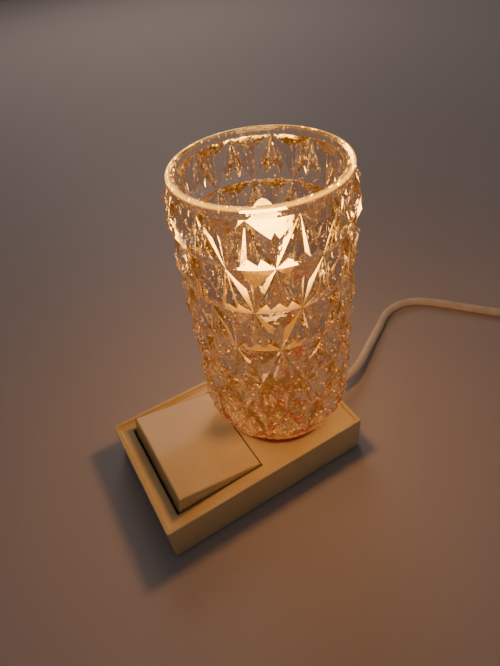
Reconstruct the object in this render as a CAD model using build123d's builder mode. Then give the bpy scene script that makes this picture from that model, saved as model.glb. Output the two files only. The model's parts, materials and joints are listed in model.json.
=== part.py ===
from build123d import *

import math
import os

# A small table lamp: a box-shaped base with one big rocker switch, and a pressed-glass tumbler
# that stands over the base on a red seat ring and holds an E14 candle bulb.
# Millimetres. +Z is up, +X runs towards the lamp end, -Y is the long front side.
# The origin is the centre of the base's footprint, on the surface that the feet stand on.

# ---- base shell ----
base_length = 120.0
base_width = 78.0
base_height = 24.4
foot_height = 1.0
shell_wall = 2.4
corner_radius = 1.2
top_edge_radius = 0.6
lip_width = 2.2
panel_drop = 1.8
panel_thickness = 2.6
lip_foot_radius = 1.2

# ---- rocker ----
rocker_length = 47.3
rocker_width = 60.4
rocker_tilt = 11.0
rocker_depth = 14.5
rocker_rise = 8.0
rocker_wall = 2.0
rocker_top_thickness = 2.4
rocker_edge_radius = 1.0
rocker_x = -25.9
rocker_pivot_below_panel = 2.45
slot_end_gap = 0.5
slot_side_gap = 1.0

# ---- switch parts ----
pin_radius = 1.5
running_clearance = 0.05
pin_inset = 0.4
ear_thickness = 3.0
ear_gap = 2.2
ear_y = rocker_width / 2 - rocker_wall - ear_thickness - ear_gap
ear_half_length = 4.0
carrier_thickness = 2.5
carrier_top = 8.0
carrier_half_length = 22.0
carrier_wall_gap = 0.6
carrier_boss_x = 18.0
carrier_boss_radius = 2.7
carrier_boss_inset = 2.6
housing_half_length = 14.0
housing_half_width = 9.0
housing_height = 7.5
housing_wall = 1.5
tongue_half_width = 4.0
tongue_half_length = 19.4
strip_thickness = 0.6
strip_half_width = 2.5
strip_inner_end = 5.6
contact_tilt = 8.0
contact_pivot_above_floor = 2.5
contact_half_length = 9.0
contact_half_width = 3.0
contact_top = 1.8
contact_thickness = 0.8
contact_barrel_radius = 1.5
contact_pin_radius = 0.8
contact_x = 8.0
contact_radius = 1.4
rivet_height = 0.5
bracket_half_length = 2.0
bracket_y = 4.6
bracket_thickness = 0.8
bracket_height = 4.0
terminal_x = 16.8
plunger_radius = 1.6
plunger_reach = 6.0
plunger_top = 0.5
plunger_tip_round = 1.12
sleeve_outer_radius = 3.4
sleeve_reach = 2.5
sleeve_clearance = 0.1
spring_wire = 0.5
spring_turns = 5

# ---- fasteners ----
screw_radius = 1.2
screw_head_radius = 2.4
screw_head_height = 1.2
screw_grip = 8.0
screw_head_clearance = 0.2
screw_tip_gap = 1.0
cover_thickness = 2.0
cover_gap = 0.3
cover_boss_radius = 3.2
foot_radius = 5.5
foot_peg_radius = 1.5
foot_inset_x = 14.0
foot_inset_y = 11.0

# ---- lamp on its threaded tube ----
lamp_x = 30.0
tube_radius = 5.0
tube_bore = 3.8
tube_clearance = 0.2
tube_below_nut = 1.7
nut_across_flats = 14.0
nut_height = 3.8
panel_washer_radius = 10.0
panel_washer_thickness = 1.0
seat_inner_radius = 19.0
seat_foot_radius = 26.4
seat_rim_radius = 28.6
seat_rim_width = 1.3
seat_foot_height = 2.1
seat_ledge = 0.6
seat_rim_height = 1.5
glass_seat_gap = 0.3
glass_foot_radius = seat_rim_radius - seat_rim_width - glass_seat_gap
glass_floor = 5.0
glass_ring_radius = 37.3
glass_wall = 3.6
glass_inner_radius = glass_ring_radius - glass_wall
glass_top = 171.0
glass_band = 4.0
glass_tiers = 6
glass_tier_height = 21.2
glass_bulge_top = 2.7
glass_bulge_low = 1.2
glass_foot_band = 2.0
glass_shoulder_inset = 3.2
glass_shoulder_drop = 6.0
glass_bowl_rise = 8.0
glass_bowl_inset = 3.4
glass_bowl_drop = 4.0
glass_floor_inset = 5.0
glass_rim_round = 1.2
nut_chamfer = 0.5
soft_washer_radius = 12.0
soft_washer_thickness = 1.5
steel_washer_radius = 13.0
steel_washer_thickness = 1.2

# ---- E14 lampholder and candle bulb ----
holder_radius = 13.5
holder_wall = 1.9
holder_entry_radius = 8.5
holder_cap_height = 19.2
holder_floor = 2.5
holder_flare_height = 9.2
barrel_height = 24.5
barrel_lip = 1.2
barrel_top_round = 1.0
holder_screw_y = 6.5
holder_cap_seat = 1.5
thread_shell_gap = 0.5
insert_gap = 0.3
insert_below_joint = 8.0
insert_floor = 5.0
thread_shell_radius = 8.0
thread_shell_wall = 0.6
bulb_cap_radius = 7.0
bulb_cap_length = 22.8
bulb_contact_radius = 2.4
bulb_contact_height = 0.9
bulb_insulator_height = 1.5
bulb_insulator_radius = 5.6
centre_contact_radius = 3.5
centre_contact_thickness = 0.8
bulb_contact_gap = 0.3
bulb_glass_wall = 0.8
# Radius and height above the cap's top edge, from the neck to the widest place and the tip.
bulb_outline = [(6.6, 0.0), (8.4, 5.0), (13.4, 15.0), (17.2, 28.0), (16.8, 40.0), (13.2, 53.0),
                (7.8, 65.0), (3.6, 72.6), (0.0, 75.4)]

bulb_cap_wall = 0.4
stem_height = 20.0
stem_foot_radius = 5.0
stem_top_radius = 2.5
filament_radius = 0.3
filament_gap = 1.5
filament_leg = 3.0
filament_reach = 6.0
filament_height = 20.0
filament_bend = 2.0

# ---- mains lead ----
cord_diameter = 5.8
cord_z = 9.5
relief_inner_x = -8.0
relief_length = 21.0
relief_neck_radius = 4.2
relief_flange_radius = 5.8
relief_flange_thickness = 1.2
relief_root_radius = 4.4
relief_tip_radius = 3.5
clamp_x = 48.0
clamp_length = 6.0
clamp_half_width = 10.0
clamp_thickness = 1.8
clamp_screw_y = 6.5
lead_in_start = 44.0
wire_radius = 0.8
wire_spread = 1.3
wire_floor = 4.2
wire_side = 6.5
wire_bend = 1.6
wire_fork_x = 39.0
wire_drop_x = 31.0
wire_tube_offset = 1.5
wire_tube_rise = 2.5
wire_turn_in = 10.0
return_turn_in = 6.0
return_rise = 3.0
coil_centre = (279.8, -25.1)
coil_inner_radius = 21.0
coil_outer_radius = 45.0
coil_height = 11.8
coil_edge_radius = 2.4
tie_thickness = 0.9
tie_angle = 10.0
tie_place = 60.0
plug_length = 32.0
plug_back = (14.0, 11.0)
plug_front = (35.3, 13.7)
plug_corner = 3.0
plug_pin_radius = 2.0
plug_pin_length = 19.0
plug_pin_spacing = 18.6
plug_pin_tip = 1.5

# The stretch between the strain relief and the coil: straight out, down to the table and round.
cord_points = [
    (base_length / 2 + relief_length + relief_inner_x, 0.0, cord_z), (79.0, 0.0, cord_z), (85.4, 1.2, 8.7),
    (92.4, 3.8, 7.5), (102.5, 9.2, 6.0), (117.5, 18.4, 4.4), (134.0, 28.0, 3.2), (147.8, 36.4, 2.9),
    (156.8, 38.8, 2.9), (166.0, 38.6, 2.9), (174.8, 35.6, 2.9), (182.2, 29.9, 2.9), (191.2, 18.6, 2.9),
    (206.6, -1.2, 2.9), (221.6, -19.9, 2.9), (247.0, -51.35, 2.9),
]
# The stretch between the coil and the plug, which lies beside the coil.
tail_points = [(319.4, -39.1, 8.7), (322.7, -29.7, 7.9), (326.1, -20.2, 6.9), (329.4, -10.8, 6.9)]

# ---- levels worked out from the sizes above ----
panel_top = base_height - panel_drop
panel_under = panel_top - panel_thickness
cover_top = foot_height + cover_thickness
pivot_z = panel_top - rocker_pivot_below_panel
tilt = math.radians(rocker_tilt)
slot_half_length = (rocker_length / 2) * math.cos(tilt) + rocker_rise * math.sin(tilt) + slot_end_gap
slot_half_width = rocker_width / 2 + slot_side_gap
housing_floor_top = carrier_top + housing_wall
contact_z = housing_floor_top + contact_pivot_above_floor
glass_bottom = panel_top + seat_foot_height + seat_ledge
glass_floor_top = glass_bottom + glass_floor
steel_washer_bottom = glass_floor_top + soft_washer_thickness
glass_nut_bottom = steel_washer_bottom + steel_washer_thickness
holder_bottom = glass_nut_bottom + nut_height
holder_joint = holder_bottom + holder_cap_height
insert_bottom = holder_joint - insert_below_joint
insert_floor_top = insert_bottom + insert_floor
barrel_top = holder_joint + barrel_height
bulb_contact_z = insert_floor_top + centre_contact_thickness + bulb_contact_gap
bulb_cap_bottom = bulb_contact_z + bulb_contact_height + bulb_insulator_height
bulb_cap_top = bulb_cap_bottom + bulb_cap_length
inner_x = base_length / 2 - shell_wall
inner_y = base_width / 2 - shell_wall
cord_radius = cord_diameter / 2
cover_boss_x = inner_x - cover_boss_radius
cover_boss_y = inner_y - cover_boss_radius
carrier_boss_y = inner_y - carrier_boss_inset
foot_x = base_length / 2 - foot_inset_x
foot_y = base_width / 2 - foot_inset_y

os.makedirs("parts", exist_ok=True)


def save(part, name):
    """Labels a finished piece and writes it under its own name."""
    part.label = name
    export_step(part, f"parts/{name}.step")


def tilted(x, z, degrees):
    """A plane at (x, 0, z), turned about +Y by degrees, so that its -X end is the raised one."""
    turn = math.radians(degrees)
    x_dir = (math.cos(turn), 0, -math.sin(turn))
    z_dir = (math.sin(turn), 0, math.cos(turn))
    return Plane(origin=(x, 0, z), x_dir=x_dir, z_dir=z_dir)


def across(x, y, z):
    """A plane at a point, facing along +Y, for pins and bores that run across the lamp."""
    return Plane(origin=(x, y, z), x_dir=(1, 0, 0), z_dir=(0, 1, 0))


def along(x, y, z):
    """A plane at a point, facing along +X."""
    return Plane(origin=(x, y, z), x_dir=(0, 1, 0), z_dir=(1, 0, 0))


def level(z, x=0.0, y=0.0):
    """A level plane at a height, centred over a point."""
    return Plane(origin=(x, y, z))


def four(x, y, centre_x=0.0):
    """The four corners of a rectangle about (centre_x, 0)."""
    return [(centre_x + sx * x, sy * y) for sx in (-1, 1) for sy in (-1, 1)]


def arc_radii(points):
    """The largest tangent arcs that a route's runs leave room for, one for each corner."""
    radii = []
    for before, here, after in zip(points, points[1:], points[2:]):
        run_in = Vector(*here) - Vector(*before)
        run_out = Vector(*after) - Vector(*here)
        half_turn = math.radians(run_in.get_angle(run_out) / 2)
        radii.append(0.45 * min(run_in.length, run_out.length) / math.tan(half_turn))
    return radii


rocker_frame = tilted(rocker_x, pivot_z, rocker_tilt)
contact_frame = tilted(rocker_x, contact_z, -contact_tilt)
lamp_section = Plane(origin=(lamp_x, 0, 0), x_dir=(1, 0, 0), z_dir=(0, -1, 0))


# ---- base shell: a box that is open below, with a tray top, a rocker slot and screw bosses ----
with BuildPart() as base_shell:
    with BuildSketch(Plane.XY.offset(foot_height)) as footprint:
        Rectangle(base_length, base_width)
        fillet(footprint.vertices(), corner_radius)
    extrude(amount=base_height - foot_height)
    fillet(base_shell.faces().sort_by(Axis.Z)[-1].edges(), top_edge_radius)
    with BuildSketch(Plane.XY.offset(panel_top)):
        Rectangle(base_length - 2 * lip_width, base_width - 2 * lip_width)
    extrude(amount=panel_drop, mode=Mode.SUBTRACT)
    fillet(base_shell.faces().filter_by(Axis.Z).sort_by(Axis.Z)[-2].edges(), lip_foot_radius)
    with BuildSketch(Plane.XY.offset(foot_height)):
        Rectangle(2 * inner_x, 2 * inner_y)
    extrude(amount=panel_under - foot_height, mode=Mode.SUBTRACT)
    with BuildSketch(Plane.XY.offset(panel_under)):
        with Locations((rocker_x, 0)):
            Rectangle(2 * slot_half_length, 2 * slot_half_width)
        with Locations((lamp_x, 0)):
            Circle(tube_radius + tube_clearance)
    extrude(amount=panel_thickness, mode=Mode.SUBTRACT)
    with BuildSketch(Plane.XY.offset(cover_top)):
        with Locations(*four(cover_boss_x, cover_boss_y)):
            Circle(cover_boss_radius)
    extrude(amount=panel_under - cover_top)
    with BuildSketch(Plane.XY.offset(carrier_top)):
        with Locations(*four(carrier_boss_x, carrier_boss_y, rocker_x)):
            Circle(carrier_boss_radius)
    extrude(amount=panel_under - carrier_top)
    with BuildSketch(Plane.XY.offset(cord_z + cord_radius)):
        with Locations((clamp_x, 0)):
            Rectangle(clamp_length, 2 * clamp_half_width)
    extrude(amount=panel_under - cord_z - cord_radius)
    with BuildSketch(Plane.XY.offset(cover_top)):
        with Locations(*four(cover_boss_x, cover_boss_y)):
            Circle(screw_radius)
    extrude(amount=screw_grip, mode=Mode.SUBTRACT)
    with BuildSketch(Plane.XY.offset(carrier_top)):
        with Locations(*four(carrier_boss_x, carrier_boss_y, rocker_x)):
            Circle(screw_radius)
    extrude(amount=screw_grip, mode=Mode.SUBTRACT)
    with BuildSketch(Plane.XY.offset(cord_z + cord_radius)):
        with Locations((clamp_x, -clamp_screw_y), (clamp_x, clamp_screw_y)):
            Circle(screw_radius)
    extrude(amount=screw_grip / 2, mode=Mode.SUBTRACT)
    with BuildSketch(along(inner_x - corner_radius, 0, cord_z)):
        Circle(relief_neck_radius)
    extrude(amount=2 * shell_wall, mode=Mode.SUBTRACT)
save(base_shell.part, "base_shell")

# ---- bottom cover with recessed screws, and the feet that are pegged into it: four and a middle one ----
foot_places = [*four(foot_x, foot_y), (0, 0)]
with BuildPart() as bottom_cover:
    with BuildSketch(Plane.XY.offset(foot_height)):
        Rectangle(2 * (inner_x - cover_gap), 2 * (inner_y - cover_gap))
        with Locations(*four(cover_boss_x, cover_boss_y)):
            Circle(screw_radius, mode=Mode.SUBTRACT)
        with Locations(*foot_places):
            Circle(foot_peg_radius, mode=Mode.SUBTRACT)
    extrude(amount=cover_thickness)
    with BuildSketch(Plane.XY.offset(foot_height)):
        with Locations(*four(cover_boss_x, cover_boss_y)):
            Circle(screw_head_radius + screw_head_clearance)
    extrude(amount=screw_head_height, mode=Mode.SUBTRACT)
save(bottom_cover.part, "bottom_cover")

with BuildPart() as rubber_feet:
    with BuildSketch():
        with Locations(*foot_places):
            Circle(foot_radius)
    extrude(amount=foot_height)
    with BuildSketch(Plane.XY.offset(foot_height)):
        with Locations(*foot_places):
            Circle(foot_peg_radius)
    extrude(amount=cover_thickness)
save(rubber_feet.part, "rubber_feet")


def screws_from_below(places, head_bottom, tip, radius=screw_radius):
    """Pan-head screws that are driven upwards, as one group of separate solids."""
    with BuildPart() as screws:
        with BuildSketch(Plane.XY.offset(head_bottom)):
            with Locations(*places):
                Circle(screw_head_radius)
        extrude(amount=screw_head_height)
        with BuildSketch(Plane.XY.offset(head_bottom + screw_head_height)):
            with Locations(*places):
                Circle(radius)
        extrude(amount=tip - head_bottom - screw_head_height)
    return screws.part


carrier_bottom = carrier_top - carrier_thickness
clamp_bottom = cord_z - cord_radius - clamp_thickness
cover_places = four(cover_boss_x, cover_boss_y)
carrier_places = four(carrier_boss_x, carrier_boss_y, rocker_x)
clamp_places = [(clamp_x, -clamp_screw_y), (clamp_x, clamp_screw_y)]
save(screws_from_below(cover_places, foot_height, cover_top + screw_grip - screw_tip_gap), "cover_screws")
carrier_screw_tip = carrier_top + screw_grip - screw_tip_gap
save(screws_from_below(carrier_places, carrier_bottom - screw_head_height, carrier_screw_tip),
     "carrier_screws")
clamp_screw_tip = cord_z + cord_radius + screw_grip / 2 - screw_tip_gap / 2
save(screws_from_below(clamp_places, clamp_bottom - screw_head_height, clamp_screw_tip), "clamp_screws")

# ---- switch carrier: a plate under the slot, with two ears that stand up inside the rocker ----
with BuildPart() as switch_carrier:
    with BuildSketch(Plane.XY.offset(carrier_bottom)):
        with Locations((rocker_x, 0)):
            Rectangle(2 * carrier_half_length, 2 * (inner_y - carrier_wall_gap))
        with Locations(*carrier_places):
            Circle(screw_radius, mode=Mode.SUBTRACT)
        with Locations((rocker_x - terminal_x, -wire_side), (rocker_x + terminal_x, wire_side)):
            Circle(wire_radius + screw_head_clearance, mode=Mode.SUBTRACT)
    extrude(amount=carrier_thickness)
    for side in (-1, 1):
        with BuildSketch(across(rocker_x, side * (ear_y + ear_thickness / 2) - ear_thickness / 2, 0)):
            with Locations((0, -(carrier_top + pivot_z) / 2)):
                Rectangle(2 * ear_half_length, pivot_z - carrier_top)
            with Locations((0, -pivot_z)):
                Circle(ear_half_length)
                Circle(pin_radius, mode=Mode.SUBTRACT)
        extrude(amount=ear_thickness)
save(switch_carrier.part, "switch_carrier")

# ---- two stub pins, fixed in the ears, on which the rocker's side skirts turn ----
pin_end = rocker_width / 2 - pin_inset
with BuildPart() as rocker_pins:
    with BuildSketch(across(rocker_x, ear_y, pivot_z)):
        Circle(pin_radius)
    extrude(amount=pin_end - ear_y)
    with BuildSketch(across(rocker_x, -pin_end, pivot_z)):
        Circle(pin_radius)
    extrude(amount=pin_end - ear_y)
save(rocker_pins.part, "rocker_pins")

# ---- rocker: a flat plate with skirts, and a sleeve below for the plunger ----
skirt_reach = rocker_depth - rocker_rise
with BuildPart() as rocker:
    with BuildSketch(rocker_frame.offset(-skirt_reach)):
        Rectangle(rocker_length, rocker_width)
    extrude(amount=rocker_depth)
    top_edges = rocker.faces().filter_by(rocker_frame).sort_by(Axis.Z)[-1].edges()
    fillet(top_edges, rocker_edge_radius)
    with BuildSketch(rocker_frame.offset(-skirt_reach)):
        Rectangle(rocker_length - 2 * rocker_wall, rocker_width - 2 * rocker_wall)
    extrude(amount=rocker_depth - rocker_top_thickness, mode=Mode.SUBTRACT)
    with BuildSketch(rocker_frame.offset(-sleeve_reach)):
        Circle(sleeve_outer_radius)
    extrude(amount=sleeve_reach + rocker_rise - rocker_top_thickness)
    with BuildSketch(rocker_frame.offset(-sleeve_reach)):
        Circle(plunger_radius + sleeve_clearance)
    extrude(amount=sleeve_reach + rocker_rise - rocker_top_thickness, mode=Mode.SUBTRACT)
    with BuildSketch(across(rocker_x, -rocker_width, pivot_z)):
        Circle(pin_radius + running_clearance)
    extrude(amount=rocker_width - ear_y, mode=Mode.SUBTRACT)
    with BuildSketch(across(rocker_x, ear_y, pivot_z)):
        Circle(pin_radius + running_clearance)
    extrude(amount=rocker_width - ear_y, mode=Mode.SUBTRACT)
save(rocker.part, "rocker")

with BuildPart() as plunger:
    with BuildSketch(rocker_frame.offset(-plunger_reach)):
        Circle(plunger_radius)
    extrude(amount=plunger_reach + plunger_top)
    fillet(plunger.edges().sort_by(Axis.Z)[0], plunger_tip_round)
save(plunger.part, "plunger")

# ---- plunger spring, squeezed between the plunger and the rocker's plate ----
spring_room = rocker_rise - rocker_top_thickness - plunger_top - spring_wire
spring_radius = plunger_radius - spring_wire / 2
spring_base = rocker_frame.offset(plunger_top + spring_wire / 2)
with BuildPart() as plunger_spring:
    with BuildLine():
        coil_line = Helix(pitch=spring_room / spring_turns, height=spring_room, radius=spring_radius,
                          center=spring_base.origin, direction=spring_base.z_dir)
    with BuildSketch(Plane(origin=coil_line @ 0, z_dir=coil_line % 0)):
        Circle(spring_wire / 2)
    sweep(path=coil_line, is_frenet=True)
save(plunger_spring.part, "plunger_spring")

# ---- switch housing: an open box on the carrier, with a tongue at each end for a terminal ----
with BuildPart() as switch_housing:
    with BuildSketch(level(carrier_top, rocker_x)):
        Rectangle(2 * housing_half_length, 2 * housing_half_width)
    extrude(amount=housing_height)
    with BuildSketch(level(housing_floor_top, rocker_x)):
        Rectangle(2 * (housing_half_length - housing_wall), 2 * (housing_half_width - housing_wall))
    extrude(amount=housing_height, mode=Mode.SUBTRACT)
    with BuildSketch(level(carrier_top, rocker_x)):
        Rectangle(2 * tongue_half_length, 2 * tongue_half_width)
    extrude(amount=housing_wall)
    with BuildSketch(level(housing_floor_top, rocker_x)):
        Rectangle(2 * tongue_half_length, 2 * strip_half_width)
    extrude(amount=strip_thickness, mode=Mode.SUBTRACT)
    with BuildSketch(level(carrier_top, rocker_x)):
        with Locations((-terminal_x, 0), (terminal_x, 0)):
            Circle(screw_radius)
    extrude(amount=housing_wall, mode=Mode.SUBTRACT)
    with BuildSketch(across(rocker_x, -housing_half_width + housing_wall / 3, contact_z)):
        Circle(contact_pin_radius)
    extrude(amount=2 * (housing_half_width - housing_wall / 3), mode=Mode.SUBTRACT)
save(switch_housing.part, "switch_housing")

with BuildPart() as contact_pin:
    with BuildSketch(across(rocker_x, -housing_half_width + housing_wall / 3, contact_z)):
        Circle(contact_pin_radius)
    extrude(amount=2 * (housing_half_width - housing_wall / 3))
save(contact_pin.part, "contact_pin")

# ---- seesaw contact: a plate on a rolled barrel, with one contact button below its feed end ----
with BuildPart() as contact_seesaw:
    with BuildSketch(contact_frame.offset(contact_top - contact_thickness)):
        Rectangle(2 * contact_half_length, 2 * contact_half_width)
    extrude(amount=contact_thickness)
    with BuildSketch(across(rocker_x, -contact_half_width, contact_z)):
        Circle(contact_barrel_radius)
    extrude(amount=2 * contact_half_width)
    with BuildSketch(contact_frame.offset(contact_top - 2 * contact_thickness)):
        with Locations((-contact_x, 0)):
            Circle(contact_radius)
    extrude(amount=contact_thickness)
    with BuildSketch(across(rocker_x, -contact_half_width, contact_z)):
        Circle(contact_pin_radius + running_clearance)
    extrude(amount=2 * contact_half_width, mode=Mode.SUBTRACT)
save(contact_seesaw.part, "contact_seesaw")

# ---- fixed contacts: a feed strip with a rivet, and a common strip whose bracket holds the pin ----
with BuildPart() as feed_contact:
    with BuildSketch(level(housing_floor_top, rocker_x)):
        with Locations((-(tongue_half_length + strip_inner_end) / 2, 0)):
            Rectangle(tongue_half_length - strip_inner_end, 2 * strip_half_width)
        with Locations((-terminal_x, 0)):
            Circle(screw_radius, mode=Mode.SUBTRACT)
    extrude(amount=strip_thickness)
    with BuildSketch(level(housing_floor_top + strip_thickness, rocker_x)):
        with Locations((-contact_x, 0)):
            Circle(contact_radius)
    extrude(amount=rivet_height)
save(feed_contact.part, "feed_contact")

with BuildPart() as common_contact:
    with BuildSketch(level(housing_floor_top, rocker_x)):
        with Locations(((tongue_half_length - bracket_half_length) / 2, 0)):
            Rectangle(tongue_half_length + bracket_half_length, 2 * strip_half_width)
        Rectangle(2 * bracket_half_length, 2 * (bracket_y + bracket_thickness))
        with Locations((terminal_x, 0)):
            Circle(screw_radius, mode=Mode.SUBTRACT)
    extrude(amount=strip_thickness)
    with BuildSketch(level(housing_floor_top + strip_thickness, rocker_x)):
        with Locations((0, -bracket_y - bracket_thickness / 2), (0, bracket_y + bracket_thickness / 2)):
            Rectangle(2 * bracket_half_length, bracket_thickness)
    extrude(amount=bracket_height - strip_thickness)
    with BuildSketch(across(rocker_x, -bracket_y - bracket_thickness, contact_z)):
        Circle(contact_pin_radius)
    extrude(amount=2 * (bracket_y + bracket_thickness), mode=Mode.SUBTRACT)
save(common_contact.part, "common_contact")

with BuildPart() as terminal_screws:
    with BuildSketch(level(carrier_top, rocker_x)):
        with Locations((-terminal_x, 0), (terminal_x, 0)):
            Circle(screw_radius)
    extrude(amount=housing_wall + strip_thickness)
    with BuildSketch(level(housing_floor_top + strip_thickness, rocker_x)):
        with Locations((-terminal_x, 0), (terminal_x, 0)):
            Circle(screw_head_radius)
    extrude(amount=screw_head_height)
save(terminal_screws.part, "terminal_screws")

# ---- red seat ring: its foot stands in the tray, and its rim goes round the glass's foot ----
with BuildPart() as seat_ring:
    with BuildSketch(lamp_section):
        with BuildLine():
            seat_ledge_z = panel_top + seat_foot_height + seat_ledge
            seat_rim_top = seat_ledge_z + seat_rim_height
            Polyline(
                (seat_inner_radius, panel_top), (seat_foot_radius, panel_top),
                (seat_foot_radius, panel_top + seat_foot_height),
                (seat_rim_radius, panel_top + seat_foot_height),
                (seat_rim_radius, seat_rim_top), (seat_rim_radius - seat_rim_width, seat_rim_top),
                (seat_rim_radius - seat_rim_width, seat_ledge_z), (seat_inner_radius, seat_ledge_z),
                close=True,
            )
        make_face()
    revolve(axis=Axis((lamp_x, 0, 0), (0, 0, 1)))
save(seat_ring.part, "seat_ring")

# ---- glass shade: a tumbler with six bulging tiers between ring grooves, drilled for the tube ----
ring_heights = [glass_top - glass_band - i * glass_tier_height for i in range(glass_tiers + 1)]
lowest_ring = ring_heights[-1]
glass_hole_radius = tube_radius + tube_clearance
glass_floor_radius = glass_foot_radius - glass_floor_inset
with BuildPart() as glass_shade:
    with BuildSketch(lamp_section):
        with BuildLine():
            Line((glass_hole_radius, glass_bottom), (glass_foot_radius, glass_bottom))
            Line((glass_foot_radius, glass_bottom), (glass_foot_radius, glass_bottom + glass_foot_band))
            ThreePointArc((glass_foot_radius, glass_bottom + glass_foot_band),
                          (glass_ring_radius - glass_shoulder_inset, lowest_ring - glass_shoulder_drop),
                          (glass_ring_radius, lowest_ring))
            for i in range(glass_tiers):
                upper, lower = ring_heights[i], ring_heights[i + 1]
                share = i / (glass_tiers - 1)
                bulge = glass_bulge_top * (1 - share) + glass_bulge_low * share
                ThreePointArc((glass_ring_radius, lower),
                              (glass_ring_radius + bulge, (upper + lower) / 2),
                              (glass_ring_radius, upper))
            Line((glass_ring_radius, ring_heights[0]), (glass_ring_radius, glass_top))
            Line((glass_ring_radius, glass_top), (glass_inner_radius, glass_top))
            Line((glass_inner_radius, glass_top), (glass_inner_radius, lowest_ring + glass_bowl_rise))
            ThreePointArc((glass_inner_radius, lowest_ring + glass_bowl_rise),
                          (glass_inner_radius - glass_bowl_inset, lowest_ring - glass_bowl_drop),
                          (glass_floor_radius, glass_floor_top))
            Line((glass_floor_radius, glass_floor_top), (glass_hole_radius, glass_floor_top))
            Line((glass_hole_radius, glass_floor_top), (glass_hole_radius, glass_bottom))
        make_face()
    revolve(axis=Axis((lamp_x, 0, 0), (0, 0, 1)))
    rim_edges = glass_shade.edges().filter_by_position(Axis.Z, glass_top - 0.01, glass_top + 0.01)
    fillet(rim_edges, glass_rim_round)
save(glass_shade.part, "glass_shade")

# ---- threaded tube that clamps glass, ring and panel, with its nuts and washers ----
tube_bottom = panel_under - panel_washer_thickness - nut_height - tube_below_nut
tube_top = holder_bottom + holder_floor


def ring(bottom, height, outer, inner):
    """A plain round washer or sleeve about the lamp's axis."""
    with BuildPart() as washer:
        with BuildSketch(level(bottom, lamp_x)):
            Circle(outer)
            Circle(inner, mode=Mode.SUBTRACT)
        extrude(amount=height)
    return washer.part


def hex_nut(bottom):
    """A hexagon nut on the threaded tube."""
    with BuildPart() as nut:
        with BuildSketch(level(bottom, lamp_x)):
            RegularPolygon(nut_across_flats / 2, 6, major_radius=False)
            Circle(tube_radius, mode=Mode.SUBTRACT)
        extrude(amount=nut_height)
        chamfer(nut.faces().sort_by(Axis.Z)[-1].edges().filter_by(GeomType.LINE), nut_chamfer)
    return nut.part


save(ring(tube_bottom, tube_top - tube_bottom, tube_radius, tube_bore), "threaded_tube")
panel_washer_bottom = panel_under - panel_washer_thickness
save(ring(panel_washer_bottom, panel_washer_thickness, panel_washer_radius, tube_radius), "panel_washer")
save(hex_nut(panel_washer_bottom - nut_height), "panel_nut")
save(ring(glass_floor_top, soft_washer_thickness, soft_washer_radius, tube_radius), "soft_washer")
save(ring(steel_washer_bottom, steel_washer_thickness, steel_washer_radius, tube_radius), "steel_washer")
save(hex_nut(glass_nut_bottom), "glass_nut")

# ---- lampholder: cap, barrel, insert, threaded shell, centre contact and terminal screws ----
cavity_radius = holder_radius - holder_wall
with BuildPart() as holder_cap:
    with BuildSketch(lamp_section):
        with BuildLine():
            flare_top = holder_bottom + holder_flare_height
            Polyline(
                (tube_radius, holder_bottom), (holder_entry_radius, holder_bottom),
                (holder_radius, flare_top), (holder_radius, holder_joint), (cavity_radius, holder_joint),
                (cavity_radius, flare_top), (tube_radius + holder_cap_seat, holder_bottom + holder_floor),
                (tube_radius, holder_bottom + holder_floor), close=True,
            )
        make_face()
    revolve(axis=Axis((lamp_x, 0, 0), (0, 0, 1)))
save(holder_cap.part, "holder_cap")

with BuildPart() as holder_barrel:
    with BuildSketch(level(holder_joint, lamp_x)):
        Circle(holder_radius)
    extrude(amount=barrel_height)
    with BuildSketch(level(holder_joint, lamp_x)):
        Circle(cavity_radius)
    extrude(amount=barrel_height - barrel_lip, mode=Mode.SUBTRACT)
    with BuildSketch(level(holder_joint, lamp_x)):
        Circle(thread_shell_radius + thread_shell_gap)
    extrude(amount=barrel_height, mode=Mode.SUBTRACT)
    fillet(holder_barrel.edges().group_by(Axis.Z)[-1].sort_by(SortBy.LENGTH)[-1], barrel_top_round)
save(holder_barrel.part, "holder_barrel")

insert_radius = cavity_radius - insert_gap
insert_top = barrel_top - barrel_lip
holder_screw_depth = insert_floor - screw_tip_gap
with BuildPart() as holder_insert:
    with BuildSketch(level(insert_bottom, lamp_x)):
        Circle(insert_radius)
    extrude(amount=insert_top - insert_bottom)
    with BuildSketch(level(insert_floor_top, lamp_x)):
        Circle(thread_shell_radius)
    extrude(amount=insert_top - insert_floor_top, mode=Mode.SUBTRACT)
    with BuildSketch(level(insert_bottom, lamp_x)):
        with Locations((0, -holder_screw_y), (0, holder_screw_y)):
            Circle(screw_radius)
    extrude(amount=holder_screw_depth, mode=Mode.SUBTRACT)
save(holder_insert.part, "holder_insert")

thread_shell_bottom = bulb_cap_bottom - thread_shell_gap
save(ring(thread_shell_bottom, insert_top - thread_shell_bottom, thread_shell_radius,
          thread_shell_radius - thread_shell_wall), "thread_shell")

with BuildPart() as centre_contact:
    with BuildSketch(level(insert_floor_top, lamp_x)):
        Circle(centre_contact_radius)
    extrude(amount=centre_contact_thickness)
save(centre_contact.part, "centre_contact")

with BuildPart() as holder_screws:
    with BuildSketch(level(insert_bottom, lamp_x)):
        with Locations((0, -holder_screw_y), (0, holder_screw_y)):
            Circle(screw_radius)
    extrude(amount=holder_screw_depth)
    with BuildSketch(level(insert_bottom - screw_head_height, lamp_x)):
        with Locations((0, -holder_screw_y), (0, holder_screw_y)):
            Circle(screw_head_radius)
    extrude(amount=screw_head_height)
save(holder_screws.part, "holder_screws")

# ---- candle bulb: contact button, insulator, cap, envelope, stem and filament ----
with BuildPart() as bulb_contact:
    with BuildSketch(level(bulb_contact_z, lamp_x)):
        Circle(bulb_contact_radius)
    extrude(amount=bulb_contact_height)
    fillet(bulb_contact.edges().sort_by(Axis.Z)[0], bulb_contact_height / 2)
save(bulb_contact.part, "bulb_contact")

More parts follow.
